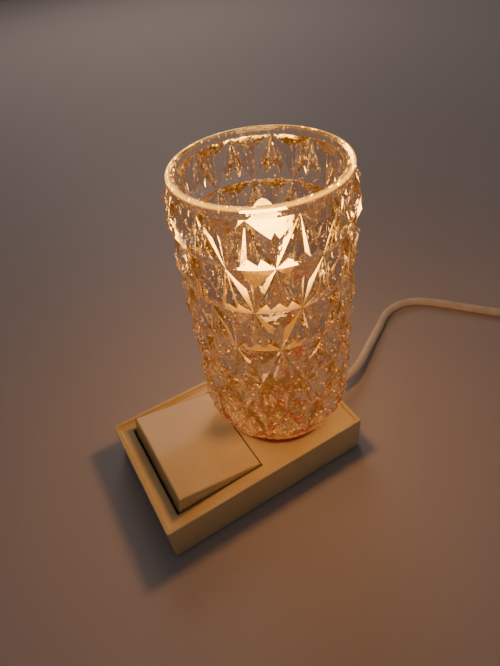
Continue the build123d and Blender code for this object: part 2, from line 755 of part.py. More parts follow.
with BuildPart() as bulb_insulator:
    with BuildSketch(level(bulb_contact_z + bulb_contact_height, lamp_x)):
        Circle(bulb_contact_radius)
    with BuildSketch(level(bulb_cap_bottom, lamp_x)):
        Circle(bulb_insulator_radius)
    loft()
save(bulb_insulator.part, "bulb_insulator")

with BuildPart() as bulb_cap:
    with BuildSketch(level(bulb_cap_bottom, lamp_x)):
        Circle(bulb_cap_radius)
    extrude(amount=bulb_cap_length)
    with BuildSketch(level(bulb_cap_bottom + bulb_cap_wall, lamp_x)):
        Circle(bulb_cap_radius - bulb_cap_wall)
    extrude(amount=bulb_cap_length, mode=Mode.SUBTRACT)
save(bulb_cap.part, "bulb_cap")

outer_line = [(radius, bulb_cap_top + height) for radius, height in bulb_outline]
inner_line = [(radius - bulb_glass_wall, z) for radius, z in outer_line[:-1]]
inner_line.append((0.0, outer_line[-1][1] - bulb_glass_wall))
with BuildPart() as bulb_envelope:
    with BuildSketch(lamp_section):
        with BuildLine():
            Spline(*outer_line, tangents=[(0.2, 1), (-1, 0)])
            Line(outer_line[-1], inner_line[-1])
            Spline(*inner_line, tangents=[(0.2, 1), (-1, 0)])
            Line(inner_line[0], outer_line[0])
        make_face()
    revolve(axis=Axis((lamp_x, 0, 0), (0, 0, 1)))
save(bulb_envelope.part, "bulb_envelope")

with BuildPart() as bulb_stem:
    with BuildSketch(level(bulb_cap_top, lamp_x)):
        Circle(stem_foot_radius)
    with BuildSketch(level(bulb_cap_top + stem_height, lamp_x)):
        Circle(stem_top_radius)
    loft()
save(bulb_stem.part, "bulb_stem")

filament_foot = bulb_cap_top + stem_height
filament_bow = filament_foot + filament_height * 0.6
with BuildPart() as bulb_filament:
    with BuildLine():
        hoop = FilletPolyline(
            (lamp_x - filament_gap, 0, filament_foot),
            (lamp_x - filament_gap, 0, filament_foot + filament_leg),
            (lamp_x - filament_reach, 0, filament_bow), (lamp_x, 0, filament_foot + filament_height),
            (lamp_x + filament_reach, 0, filament_bow),
            (lamp_x + filament_gap, 0, filament_foot + filament_leg),
            (lamp_x + filament_gap, 0, filament_foot), radius=filament_bend)
    with BuildSketch(Plane(origin=hoop @ 0, z_dir=hoop % 0)):
        Circle(filament_radius)
    sweep(path=hoop)
save(bulb_filament.part, "bulb_filament")

# ---- strain relief through the end wall, and the clamp that holds the lead inside ----
wall_inside = inner_x
wall_outside = base_length / 2
relief_start = wall_outside + relief_inner_x
relief_tip = relief_start + relief_length
lead_section = Plane(origin=(0, 0, cord_z), x_dir=(1, 0, 0), z_dir=(0, -1, 0))
with BuildPart() as strain_relief:
    with BuildSketch(lead_section):
        with BuildLine():
            Polyline(
                (relief_start, cord_radius), (relief_start, relief_neck_radius),
                (wall_inside - relief_flange_thickness, relief_neck_radius),
                (wall_inside - relief_flange_thickness, relief_flange_radius),
                (wall_inside, relief_flange_radius), (wall_inside, relief_neck_radius),
                (wall_outside, relief_neck_radius), (wall_outside, relief_flange_radius),
                (wall_outside + relief_flange_thickness, relief_flange_radius),
                (wall_outside + relief_flange_thickness, relief_root_radius),
                (relief_tip, relief_tip_radius), (relief_tip, cord_radius), close=True,
            )
        make_face()
    revolve(axis=Axis((0, 0, cord_z), (1, 0, 0)))
save(strain_relief.part, "strain_relief")

with BuildPart() as cord_clamp:
    with BuildSketch(level(clamp_bottom, clamp_x)):
        Rectangle(clamp_length, 2 * clamp_half_width)
        with Locations((0, -clamp_screw_y), (0, clamp_screw_y)):
            Circle(screw_radius, mode=Mode.SUBTRACT)
    extrude(amount=clamp_thickness)
save(cord_clamp.part, "cord_clamp")

with BuildPart() as cord_lead_in:
    with BuildSketch(along(lead_in_start, 0, cord_z)):
        Circle(cord_radius)
    extrude(amount=relief_tip - lead_in_start)
save(cord_lead_in.part, "cord_lead_in")


def tube(points, radii, radius):
    """A round wire or lead along straight runs that are joined by tangent arcs."""
    with BuildPart() as wire:
        with BuildLine():
            route = FilletPolyline(*points, radius=radii)
        with BuildSketch(Plane(origin=route @ 0, z_dir=route % 0)):
            Circle(radius)
        sweep(path=route)
    return wire.part, route.length


# ---- inner wires: feed to the switch, switched lead to the holder, and the return ----
feed_x = rocker_x - terminal_x
common_x = rocker_x + terminal_x
wire_top = housing_floor_top + strip_thickness + wire_radius
terminal_edge = screw_head_radius
holder_wire_top = insert_bottom - screw_head_height
feed_points = [
    (lead_in_start, -wire_spread, cord_z), (wire_fork_x, -wire_spread, cord_z),
    (wire_drop_x, -wire_side, wire_floor), (feed_x, -wire_side, wire_floor),
    (feed_x, -wire_side, wire_top), (feed_x, -terminal_edge, wire_top),
]
switched_points = [
    (common_x, terminal_edge, wire_top), (common_x, wire_side, wire_top),
    (common_x, wire_side, wire_floor), (lamp_x - wire_turn_in, wire_side, wire_floor),
    (lamp_x - wire_tube_offset, 0, wire_floor + wire_tube_rise),
    (lamp_x - wire_tube_offset, 0, holder_wire_top),
]
return_points = [
    (lead_in_start, wire_spread, cord_z), (lamp_x + return_turn_in, wire_spread, cord_z),
    (lamp_x + wire_tube_offset, 0, cord_z + return_rise), (lamp_x + wire_tube_offset, 0, holder_wire_top),
]
save(tube(feed_points, wire_bend, wire_radius)[0], "wire_feed")
save(tube(switched_points, wire_bend, wire_radius)[0], "wire_switched")
save(tube(return_points, wire_bend, wire_radius)[0], "wire_return")

# ---- free lead: the loose stretch, the put-away coil with its tie, and the tail to the plug ----
for name, points in (("cord", cord_points), ("cord_tail", tail_points)):
    radii = arc_radii(points)
    lead, length = tube(points, radii, cord_radius)
    save(lead, name)
    print(name, "length", round(length, 1), "radii", [round(radius, 1) for radius in radii])
    print(name, "volume over section times length", lead.volume / (math.pi * cord_radius**2 * length))

coil_middle = (coil_inner_radius + coil_outer_radius) / 2
coil_section = Plane(origin=(*coil_centre, 0), x_dir=(math.cos(math.radians(tie_place)),
                     math.sin(math.radians(tie_place)), 0),
                     z_dir=(math.sin(math.radians(tie_place)), -math.cos(math.radians(tie_place)), 0))
coil_axis = Axis((*coil_centre, 0), (0, 0, 1))
coil_width = coil_outer_radius - coil_inner_radius


def coil_loop(amount):
    """The band round the coil's section: the whole tie, or the groove that it lies in."""
    with BuildPart() as loop:
        with BuildSketch(coil_section):
            with Locations((coil_middle, coil_height / 2)):
                RectangleRounded(coil_width, coil_height, coil_edge_radius)
                RectangleRounded(coil_width - 2 * tie_thickness, coil_height - 2 * tie_thickness,
                                 coil_edge_radius - tie_thickness, mode=Mode.SUBTRACT)
        revolve(axis=coil_axis, revolution_arc=amount)
    return loop.part


tie_loop = coil_loop(tie_angle)
with BuildPart() as cord_coil:
    with BuildSketch(coil_section):
        with Locations((coil_middle, coil_height / 2)):
            RectangleRounded(coil_width, coil_height, coil_edge_radius)
    revolve(axis=coil_axis)
    add(tie_loop, mode=Mode.SUBTRACT)
save(cord_coil.part, "cord_coil")
save(tie_loop, "coil_tie")

# ---- flat two-pin plug, lying beside the coil ----
plug_heading = Vector(*tail_points[-1]) - Vector(*tail_points[-2])
plug_turn = math.atan2(plug_heading.Y, plug_heading.X)
plug_frame = Plane(origin=tail_points[-1], x_dir=(-math.sin(plug_turn), math.cos(plug_turn), 0),
                   z_dir=(math.cos(plug_turn), math.sin(plug_turn), 0))
with BuildPart() as plug_body:
    with BuildSketch(plug_frame):
        RectangleRounded(*plug_back, plug_corner)
    with BuildSketch(plug_frame.offset(plug_length)):
        RectangleRounded(*plug_front, plug_corner)
    loft()
save(plug_body.part, "plug_body")

with BuildPart() as plug_pins:
    with BuildSketch(plug_frame.offset(plug_length)):
        with Locations((-plug_pin_spacing / 2, 0), (plug_pin_spacing / 2, 0)):
            Circle(plug_pin_radius)
    extrude(amount=plug_pin_length)
    pin_tips = plug_pins.faces().filter_by(plug_frame).sort_by(Axis((0, 0, 0), plug_frame.z_dir))
    fillet(pin_tips[-2:].edges(), plug_pin_tip)
save(plug_pins.part, "plug_pins")
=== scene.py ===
import json
import math

import bpy
import bmesh
from mathutils import Matrix, Vector


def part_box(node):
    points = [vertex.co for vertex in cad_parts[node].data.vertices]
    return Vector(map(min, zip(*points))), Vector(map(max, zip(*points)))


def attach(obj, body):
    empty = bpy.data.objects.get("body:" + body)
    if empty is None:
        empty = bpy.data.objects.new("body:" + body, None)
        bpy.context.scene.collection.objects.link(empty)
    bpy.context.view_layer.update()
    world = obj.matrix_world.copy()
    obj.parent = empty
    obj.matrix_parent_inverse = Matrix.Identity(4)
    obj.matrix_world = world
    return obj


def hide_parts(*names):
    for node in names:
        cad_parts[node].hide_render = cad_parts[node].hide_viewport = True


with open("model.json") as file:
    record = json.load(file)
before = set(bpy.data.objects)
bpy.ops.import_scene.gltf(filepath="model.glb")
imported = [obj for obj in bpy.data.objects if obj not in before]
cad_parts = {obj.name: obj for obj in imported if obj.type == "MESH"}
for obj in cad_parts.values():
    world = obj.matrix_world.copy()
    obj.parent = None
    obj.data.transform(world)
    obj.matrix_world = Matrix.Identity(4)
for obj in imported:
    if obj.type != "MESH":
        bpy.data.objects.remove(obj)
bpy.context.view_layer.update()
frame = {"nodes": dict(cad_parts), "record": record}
MM = 0.001
SHADE_X = 0.030
WELD = 0.02 * MM

# ------------------------------------------------------------------ small helpers


def linear(hex_colour):
    """An sRGB hex colour as a linear RGBA tuple."""
    channels = [int(hex_colour[i:i + 2], 16) / 255 for i in (1, 3, 5)]
    return tuple([c / 12.92 if c <= 0.04045 else ((c + 0.055) / 1.055) ** 2.4 for c in channels] + [1.0])


def add(tree, kind, settings=None, **links):
    """Adds a shader node. Settings are its properties or socket values, links feed its sockets."""
    node = tree.nodes.new(kind)
    for key, value in (settings or {}).items():
        if hasattr(node, key):
            setattr(node, key, value)
        else:
            node.inputs[key].default_value = value
    for key, source in links.items():
        name = key.replace("_", " ")
        socket = node.inputs[int(key[1:])] if key[0] == "i" and key[1:].isdigit() else node.inputs[name]
        tree.links.new(source, socket)
    return node


def finish(name):
    """An empty material: its tree, its shader and the piece's own coordinates."""
    material = bpy.data.materials.new(name)
    material.use_nodes = True
    tree = material.node_tree
    tree.nodes.clear()
    shader = add(tree, "ShaderNodeBsdfPrincipled")
    output = add(tree, "ShaderNodeOutputMaterial")
    tree.links.new(shader.outputs[0], output.inputs[0])
    place = add(tree, "ShaderNodeTexCoord").outputs["Object"]
    return material, tree, shader, place


def deselect():
    """Nothing stays selected or active before a new primitive is added."""
    if bpy.context.object and bpy.context.object.mode != "OBJECT":
        bpy.ops.object.mode_set(mode="OBJECT")
    bpy.ops.object.select_all(action="DESELECT")


def named(name):
    """The newly added primitive, under its own name."""
    piece = bpy.context.object
    piece.name = name
    piece.data.name = name
    return piece


def settle(piece, material, body, smooth=30.0):
    """Puts a finished piece's place in its mesh, and gives it its finish and its body."""
    deselect()
    piece.select_set(True)
    bpy.context.view_layer.objects.active = piece
    bpy.ops.object.transform_apply(location=True, rotation=True, scale=True)
    if smooth:
        bpy.ops.object.shade_smooth_by_angle(angle=math.radians(smooth))
    piece.data.materials.clear()
    piece.data.materials.append(material)
    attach(piece, body)
    return piece


# ------------------------------------------------------------------ camera

CAMERA_PLACE = (-0.06197, -0.16085, 0.25373)
CAMERA_HEADING = -26.1
CAMERA_TILT = 43.1
CAMERA_ROLL = -7.18
CAMERA_LENS = 26.65


def make_camera():
    """The camera looks down over the rocker end towards the glass, a little rolled."""
    heading, tilt, roll = (math.radians(a) for a in (CAMERA_HEADING, CAMERA_TILT, CAMERA_ROLL))
    forward = Vector((-math.sin(heading) * math.cos(tilt), math.cos(heading) * math.cos(tilt),
                      -math.sin(tilt)))
    level_right = Vector((math.cos(heading), math.sin(heading), 0))
    level_up = level_right.cross(forward)
    right = math.cos(roll) * level_right + math.sin(roll) * level_up
    up = -math.sin(roll) * level_right + math.cos(roll) * level_up
    deselect()
    bpy.ops.object.camera_add(location=CAMERA_PLACE)
    camera = bpy.context.object
    turn = Matrix((right, up, -forward)).transposed().to_4x4()
    camera.matrix_world = Matrix.Translation(CAMERA_PLACE) @ turn
    camera.data.lens = CAMERA_LENS
    camera.data.clip_start = 0.01
    bpy.context.scene.camera = camera


make_camera()

# ------------------------------------------------------------------ finishes


def moulded_abs(name, colour, shade, roughness):
    """Glossy moulded ABS: an even colour with slow yellowing, and a faint moulded ripple in the gloss."""
    material, tree, shader, place = finish(name)
    shader.inputs["Roughness"].default_value = roughness
    shader.inputs["IOR"].default_value = 1.53
    patches = add(tree, "ShaderNodeTexNoise", {"Scale": 1 / (35 * MM), "Detail": 3.0}, Vector=place)
    tone = add(tree, "ShaderNodeValToRGB", Fac=patches.outputs["Fac"])
    tone.color_ramp.elements[0].position = 0.35
    tone.color_ramp.elements[0].color = linear(shade)
    tone.color_ramp.elements[1].position = 0.7
    tone.color_ramp.elements[1].color = linear(colour)
    tree.links.new(tone.outputs["Color"], shader.inputs["Base Color"])
    ripple = add(tree, "ShaderNodeTexNoise", {"Scale": 1 / (9 * MM), "Detail": 2.0}, Vector=place)
    bump = add(tree, "ShaderNodeBump", {"Strength": 0.25, "Distance": 0.06 * MM},
               Height=ripple.outputs["Fac"])
    tree.links.new(bump.outputs["Normal"], shader.inputs["Normal"])
    return material


# Painted glow on the glass: the heights and radii of the painted rim glow band, the faint painted glow over
# the whole wall, and the strength of the painted golden glints.
RIM_LOW = 0.1698
RIM_FULL = 0.1706
RIM_EDGE_START = 0.0350
RIM_EDGE_FULL = 0.0366
PAINTED_WALL_GLOW = 0.026
PAINTED_GLINT_STRENGTH = 2.6
BEADS_START = 0.125
BEADS_FULL = 0.085


def clear_pressed_glass():
    """Clear pressed glass round a lit bulb, with painted light: a painted glow band along its outer rim
    edge, a faint painted warm glow over the whole wall and scattered painted golden glints. The surface is
    uneven and finely beaded lower down, and lamps shine through."""
    material, tree, shader, place = finish("clear_pressed_glass")
    shader.inputs["Base Color"].default_value = linear("#fdfaf2")
    shader.inputs["Roughness"].default_value = 0.0
    shader.inputs["IOR"].default_value = 1.51
    shader.inputs["Transmission Weight"].default_value = 1.0
    height = add(tree, "ShaderNodeSeparateXYZ", Vector=place)
    across = add(tree, "ShaderNodeVectorMath", {"operation": "MULTIPLY_ADD"}, Vector=place)
    across.inputs[1].default_value = (1, 1, 0)
    across.inputs[2].default_value = (-SHADE_X, 0, 0)
    reach = add(tree, "ShaderNodeVectorMath", {"operation": "LENGTH"}, Vector=across.outputs["Vector"])
    # Painted light: the glass gets emission of its own, a glow band at the outer rim edge plus a faint glow
    # over the whole wall.
    top = add(tree, "ShaderNodeMapRange", {"From Min": RIM_LOW, "From Max": RIM_FULL},
              Value=height.outputs["Z"])
    edge = add(tree, "ShaderNodeMapRange", {"From Min": RIM_EDGE_START, "From Max": RIM_EDGE_FULL,
                                            "To Min": 0.12, "To Max": 2.3}, Value=reach.outputs["Value"])
    rim = add(tree, "ShaderNodeMath", {"operation": "MULTIPLY_ADD"}, i0=top.outputs["Result"],
              i1=edge.outputs["Result"])
    rim.inputs[2].default_value = PAINTED_WALL_GLOW
    # Painted golden glints: random cells of a Voronoi pattern glow. The same pattern also drives the fine
    # beading bump below.
    bead = add(tree, "ShaderNodeTexVoronoi", {"Scale": 1 / (2.1 * MM)}, Vector=place)
    spot = add(tree, "ShaderNodeMapRange", {"From Min": 0.26, "From Max": 0.10},
               Value=bead.outputs["Distance"])
    chance = add(tree, "ShaderNodeSeparateColor", Color=bead.outputs["Color"])
    lit = add(tree, "ShaderNodeMapRange", {"From Min": 0.72, "From Max": 1.0}, Value=chance.outputs["Red"])
    painted_glints = add(tree, "ShaderNodeMath", {"operation": "MULTIPLY"}, i0=spot.outputs["Result"],
                  i1=lit.outputs["Result"])
    painted_glow_strength = add(tree, "ShaderNodeMath", {"operation": "MULTIPLY_ADD"}, i0=painted_glints.outputs[0],
                i2=rim.outputs[0])
    painted_glow_strength.inputs[1].default_value = PAINTED_GLINT_STRENGTH
    # Colour of the painted glow, more golden at the rim.
    painted_glow_colour = add(tree, "ShaderNodeValToRGB", Fac=top.outputs["Result"])
    painted_glow_colour.color_ramp.elements[0].color = linear("#ff9632")
    painted_glow_colour.color_ramp.elements[1].color = linear("#ffb01c")
    tree.links.new(painted_glow_colour.outputs["Color"], shader.inputs["Emission Color"])
    tree.links.new(painted_glow_strength.outputs[0], shader.inputs["Emission Strength"])
    wave = add(tree, "ShaderNodeTexNoise", {"Scale": 1 / (5 * MM), "Detail": 2.0}, Vector=place)
    bump = add(tree, "ShaderNodeBump", {"Strength": 0.8, "Distance": 0.4 * MM}, Height=wave.outputs["Fac"])
    beading = add(tree, "ShaderNodeMapRange", {"From Min": BEADS_START, "From Max": BEADS_FULL,
                                               "To Min": 0.05, "To Max": 0.4}, Value=height.outputs["Z"])
    fine = add(tree, "ShaderNodeBump", {"Distance": 0.25 * MM}, Height=bead.outputs["Distance"],
               Strength=beading.outputs["Result"], Normal=bump.outputs["Normal"])
    tree.links.new(fine.outputs["Normal"], shader.inputs["Normal"])
    open_to_lamps(tree, shader, "#faf2e4")
    return material


def open_to_lamps(tree, shader, tint):
    """Lets a lamp's rays through a clear or frosted wall."""
    clear = add(tree, "ShaderNodeBsdfTransparent", {"Color": linear(tint)})
    rays = add(tree, "ShaderNodeLightPath")
    mix = add(tree, "ShaderNodeMixShader", None, i0=rays.outputs["Is Shadow Ray"],
              i1=shader.outputs[0], i2=clear.outputs[0])
    output = [n for n in tree.nodes if n.type == "OUTPUT_MATERIAL"][0]
    tree.links.new(mix.outputs[0], output.inputs[0])


GLOW_HEIGHT = 0.140
GLOW_REACH = 0.030
GLOW_FALL = 1.5


def glowing_frosted_glass():
    """The lit bulb's frosted envelope: a white-hot core at the filament, and amber towards the neck."""
    material, tree, shader, place = finish("glowing_frosted_glass")
    shader.inputs["Base Color"].default_value = linear("#f4e8d2")
    shader.inputs["Roughness"].default_value = 0.45
    height = add(tree, "ShaderNodeSeparateXYZ", Vector=place)
    away = add(tree, "ShaderNodeMath", {"operation": "SUBTRACT"}, i0=height.outputs["Z"])
    away.inputs[1].default_value = GLOW_HEIGHT
    off = add(tree, "ShaderNodeMath", {"operation": "ABSOLUTE"}, i0=away.outputs[0])
    glow = add(tree, "ShaderNodeMapRange", {"From Min": GLOW_REACH, "From Max": 0.0, "To Min": 0.0,
                                            "To Max": 1.0, "interpolation_type": "SMOOTHERSTEP"},
               Value=off.outputs[0])
    heat = add(tree, "ShaderNodeValToRGB", Fac=glow.outputs["Result"])
    heat.color_ramp.elements[0].color = linear("#e89020")
    heat.color_ramp.elements[1].color = linear("#ffb848")
    tree.links.new(heat.outputs["Color"], shader.inputs["Emission Color"])
    core = add(tree, "ShaderNodeMath", {"operation": "POWER"}, i0=glow.outputs["Result"])
    core.inputs[1].default_value = GLOW_FALL
    power = add(tree, "ShaderNodeMapRange", {"To Min": 0.6, "To Max": 14.0}, Value=core.outputs[0])
    tree.links.new(power.outputs["Result"], shader.inputs["Emission Strength"])
    open_to_lamps(tree, shader, "#ffe9c8")
    return material


# Colour of the painted red glow given to the seat ring, which is no lamp.
PAINTED_RED_GLOW = "#d00420"


def soft_rubber(name, colour, roughness, painted_red_glow_strength=0.0):
    """Moulded rubber: dull, with a fine bloom that scatters its highlights. It can carry a faint painted red
    glow, a painted light standing in for the bulb's light that reaches the seat ring through the glass."""
    material, tree, shader, place = finish(name)
    # Painted red glow: emission on a rubber part that is no lamp.
    shader.inputs["Emission Color"].default_value = linear(PAINTED_RED_GLOW)
    shader.inputs["Emission Strength"].default_value = painted_red_glow_strength
    shader.inputs["Base Color"].default_value = linear(colour)
    shader.inputs["Roughness"].default_value = roughness
    shader.inputs["IOR"].default_value = 1.5
    bloom = add(tree, "ShaderNodeTexNoise", {"Scale": 1 / (0.6 * MM), "Detail": 4.0}, Vector=place)
    bump = add(tree, "ShaderNodeBump", {"Strength": 0.3, "Distance": 0.05 * MM}, Height=bloom.outputs["Fac"])
    tree.links.new(bump.outputs["Normal"], shader.inputs["Normal"])
    return material


def ivory_pvc():
    """Ivory PVC lead: satin, slightly dirty along its length."""
    material, tree, shader, place = finish("ivory_pvc")
    shader.inputs["Roughness"].default_value = 0.42
    shader.inputs["IOR"].default_value = 1.53
    dirt = add(tree, "ShaderNodeTexNoise", {"Scale": 1 / (12 * MM), "Detail": 3.0}, Vector=place)
    tone = add(tree, "ShaderNodeValToRGB", Fac=dirt.outputs["Fac"])
    tone.color_ramp.elements[0].position = 0.3
    tone.color_ramp.elements[0].color = linear("#ece2cc")
    tone.color_ramp.elements[1].position = 0.6
    tone.color_ramp.elements[1].color = linear("#fdf6e8")
    tree.links.new(tone.outputs["Color"], shader.inputs["Base Color"])
    grain = add(tree, "ShaderNodeTexNoise", {"Scale": 1 / (0.8 * MM), "Detail": 2.0}, Vector=place)
    bump = add(tree, "ShaderNodeBump", {"Strength": 0.2, "Distance": 0.03 * MM}, Height=grain.outputs["Fac"])
    tree.links.new(bump.outputs["Normal"], shader.inputs["Normal"])
    return material


def plated_metal(name, colour, roughness, streak_mm):
    """Plated or turned metal: a clear metal colour with fine uneven polish."""
    material, tree, shader, place = finish(name)
    shader.inputs["Base Color"].default_value = linear(colour)
    shader.inputs["Metallic"].default_value = 1.0
    polish = add(tree, "ShaderNodeTexNoise", {"Scale": 1 / (streak_mm * MM), "Detail": 4.0}, Vector=place)
    rough = add(tree, "ShaderNodeMapRange", {"To Min": roughness * 0.7, "To Max": roughness * 1.4},
                Value=polish.outputs["Fac"])
    tree.links.new(rough.outputs["Result"], shader.inputs["Roughness"])
    return material


def moulded_matt(name, colour, roughness=0.55):
    """Plain moulded plastic of the hidden pieces: even, slightly grained."""
    material, tree, shader, place = finish(name)
    shader.inputs["Base Color"].default_value = linear(colour)
    shader.inputs["Roughness"].default_value = roughness
    grain = add(tree, "ShaderNodeTexNoise", {"Scale": 1 / (0.7 * MM), "Detail": 2.0}, Vector=place)
    bump = add(tree, "ShaderNodeBump", {"Strength": 0.2, "Distance": 0.03 * MM}, Height=grain.outputs["Fac"])
    tree.links.new(bump.outputs["Normal"], shader.inputs["Normal"])
    return material


FINISHES = {
    "base_plastic": moulded_abs("yellowed_cream_abs", "#f0dcaa", "#e6ce98", 0.18),
    "rocker_plastic": moulded_abs("pale_cream_rocker", "#ecdab0", "#e2cc9c", 0.09),
    "inner_plastic": moulded_matt("natural_nylon", "#d9d4c6"),
    "ceramic_plastic": moulded_matt("white_insert", "#efede6", 0.4),
    "holder_plastic": moulded_abs("cream_phenolic", "#e6dcc4", "#dccfb2", 0.3),
    "black_rubber": soft_rubber("black_rubber", "#141414", 0.7),
    # The red seat ring carries a faint painted red glow.
    "red_rubber": soft_rubber("red_rubber_painted_glow", "#b80c1e", 0.3, 0.05),
    "steel": plated_metal("zinc_plated_steel", "#c9c9c6", 0.35, 3.0),
    "brass": plated_metal("turned_brass", "#d6a854", 0.25, 2.0),
    "nickel": plated_metal("nickel_plate", "#cfcac0", 0.2, 2.0),
    "pressed_glass": clear_pressed_glass(),
    "bulb_glass": glowing_frosted_glass(),
    "stem_glass": moulded_matt("lead_glass_stem", "#dfe6e2", 0.1),
    "black_glass": moulded_matt("black_glass", "#0c0c0c", 0.1),
    "cord_pvc": ivory_pvc(),
    "wire_brown": moulded_matt("brown_pvc", "#4a2412", 0.45),
    "wire_blue": moulded_matt("blue_pvc", "#1c4a9a", 0.45),
    "tie_plastic": moulded_matt("white_tie", "#dcdad2", 0.4),
}
for part in frame["record"]["subparts"]:
    shown = frame["nodes"][part["node"]]
    shown.data.materials.clear()
    shown.data.materials.append(FINISHES[part["material_slot"]])

# ------------------------------------------------------------------ mains lead

LEAD_DIAMETER = 0.0058
LEAD_EXIT = (0.073, 0.0, 0.0095)
LOOSE_POINTS = [
    LEAD_EXIT, (0.079, 0.0, 0.0095), (0.0854, 0.0012, 0.0087), (0.0924, 0.0038, 0.0075),
    (0.1025, 0.0092, 0.006), (0.1175, 0.0184, 0.0044), (0.134, 0.028, 0.0032), (0.1478, 0.0364, 0.0029),
    (0.1568, 0.0388, 0.0029), (0.166, 0.0386, 0.0029), (0.1748, 0.0356, 0.0029), (0.1822, 0.0299, 0.0029),
    (0.1912, 0.0186, 0.0029), (0.2066, -0.0012, 0.0029), (0.2216, -0.0199, 0.0029),
]
TAIL_POINTS = [(0.3227, -0.0297, 0.0079), (0.3261, -0.0202, 0.0069), (0.3294, -0.0108, 0.0069)]
COIL_CENTRE = (0.2798, -0.0251)
COIL_RADIUS = 0.042
COIL_PITCH = 0.00588
COIL_START = -141.3
COIL_TURNS = 7.338
POINTS_PER_TURN = 16
LAYER_TURNS = 3.0
RISE_START = 3.1
RISE_END = 3.5
LAYER_HEIGHT = 0.0059


def smooth_step(x):
    """0 before 0, 1 after 1, and a soft rise between."""
    x = min(max(x, 0.0), 1.0)
    return x * x * (3 - 2 * x)


def coil_radius(turn):
    """The lower layer winds inwards, and the upper one back out, each turn a diameter on."""
    inwards = min(turn, LAYER_TURNS)
    outwards = min(max(turn - RISE_END, 0.0), LAYER_TURNS)
    return COIL_RADIUS - COIL_PITCH * (inwards - outwards)


def coil_points():
    """Points round the coil, anticlockwise, rising onto the second layer at its innermost turn."""
    points = []
    count = int(COIL_TURNS * POINTS_PER_TURN)
    spread = 1 / (0.25 + 0.75 * math.cos(math.pi / POINTS_PER_TURN))
    for i in range(count + 1):
        turn = i * COIL_TURNS / count
        angle = math.radians(COIL_START + 360 * turn)
        radius = coil_radius(turn) * spread
        rise = smooth_step((turn - RISE_START) / (RISE_END - RISE_START))
        height = LEAD_DIAMETER / 2 + LAYER_HEIGHT * rise
        points.append((COIL_CENTRE[0] + radius * math.cos(angle),
                       COIL_CENTRE[1] + radius * math.sin(angle), height))
    return points


def make_lead():
    """The mains lead as one line of its real length: loose stretch, put-away coil, and tail."""
    line = bpy.data.curves.new("mains_lead", "CURVE")
    line.dimensions = "3D"
    spline = line.splines.new("NURBS")
    points = LOOSE_POINTS + coil_points() + TAIL_POINTS
    spline.points.add(len(points) - 1)
    for point, place in zip(spline.points, points):
        point.co = (*place, 1.0)
    spline.order_u = 3
    spline.use_endpoint_u = True
    spline.resolution_u = 6
    line.bevel_depth = LEAD_DIAMETER / 2
    line.bevel_resolution = 4
    line.materials.append(FINISHES["cord_pvc"])
    lead = bpy.data.objects.new("mains_lead", line)
    bpy.context.scene.collection.objects.link(lead)
    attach(lead, "root")
    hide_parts("cord", "cord_coil", "cord_tail")


make_lead()

# ------------------------------------------------------------------ pressed-glass shade

STARS = 12
STAR_PITCH = 2 * math.pi / STARS
FIRST_STAR = math.radians(-130.0)
RING_RADIUS = 0.0373
TIERS = 6
TIER_HEIGHT = 0.0212
GLASS_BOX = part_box("glass_shade")
GLASS_BOTTOM = GLASS_BOX[0][2]
GLASS_TOP = GLASS_BOX[1][2]
PLAIN_BAND = 0.004
TOP_RING = GLASS_TOP - PLAIN_BAND
LOW_RING = TOP_RING - TIERS * TIER_HEIGHT
FOOT_LINE = GLASS_BOTTOM + 0.0036
FOOT_RADIUS = 0.0270
INNER_RADIUS = 0.0337
HOLE_RADIUS = 0.0052
KNURL = 0.0002
KNURL_PITCH = 3.75
BULGE_TOP = 0.0032
BULGE_LOW = 0.0021
BULGE_FOOT = 0.0008
CUTS = 7


def wall_radius(z):
    """The outside radius of the ring lines: straight down to the lowest ring, then drawn in to the foot."""
    if z >= LOW_RING:
        return RING_RADIUS
    share = min((LOW_RING - z) / (LOW_RING - FOOT_LINE), 1.0)
    return RING_RADIUS - (RING_RADIUS - FOOT_RADIUS) * (1 - math.sqrt(1 - share * 0.999))


def fan(verts, faces, apex_at, top, bottom, bulge, rays, facet_share, down=True):
    """One triangle of the pattern: pleated rays from its apex, and a flat facet to its far side.

    rays are (side, rise): how far a ray leans, in star pitches, and how much of the bulge it gains over
    the triangle's height. Places are unrolled: angle times the ring radius, height above the ring
    lines, and z."""
    start = len(verts)
    height = bottom - top

    def point(side, share, rise):
        z = top + height * share if down else bottom - height * share
        verts.append(((apex_at + side * share * STAR_PITCH) * RING_RADIUS, rise, z))

    point(0.0, 0.0, 0.0)
    point(-0.5, 1.0, 0.0)
    for side, rise in rays:
        share = bulge / (bulge + facet_share * bulge * rise)
        point(side, share, bulge * rise * share)
    point(0.5, 1.0, 0.0)
    last = start + 2 + len(rays)
    order = list(range(start + 1, last + 1))
    for one, other in zip(order, order[1:]):
        faces.append((start, one, other))
    faces.append(tuple(order))


UPRIGHT_RAYS = [(-0.36, 1.5), (-0.19, 0.42), (0.0, 1.5), (0.19, 0.42), (0.36, 1.5)]
INVERTED_RAYS = [(-0.10, 1.4), (0.0, 0.8), (0.10, 1.4)]


def pattern_sheet():
    """The whole star pattern as an unrolled sheet of flat facets."""
    verts, faces = [], []
    for tier in range(TIERS + 1):
        top = TOP_RING - tier * TIER_HEIGHT
        bottom = top - TIER_HEIGHT if tier < TIERS else FOOT_LINE
        bulge = BULGE_TOP + (BULGE_LOW - BULGE_TOP) * tier / (TIERS - 1) if tier < TIERS else BULGE_FOOT
        for star in range(STARS):
            at = FIRST_STAR + (star + 0.5 * (tier % 2)) * STAR_PITCH
            fan(verts, faces, at, top, bottom, bulge, UPRIGHT_RAYS, 0.34)
            fan(verts, faces, at + 0.5 * STAR_PITCH, top, bottom, bulge, INVERTED_RAYS, 0.30, down=False)
    return verts, faces


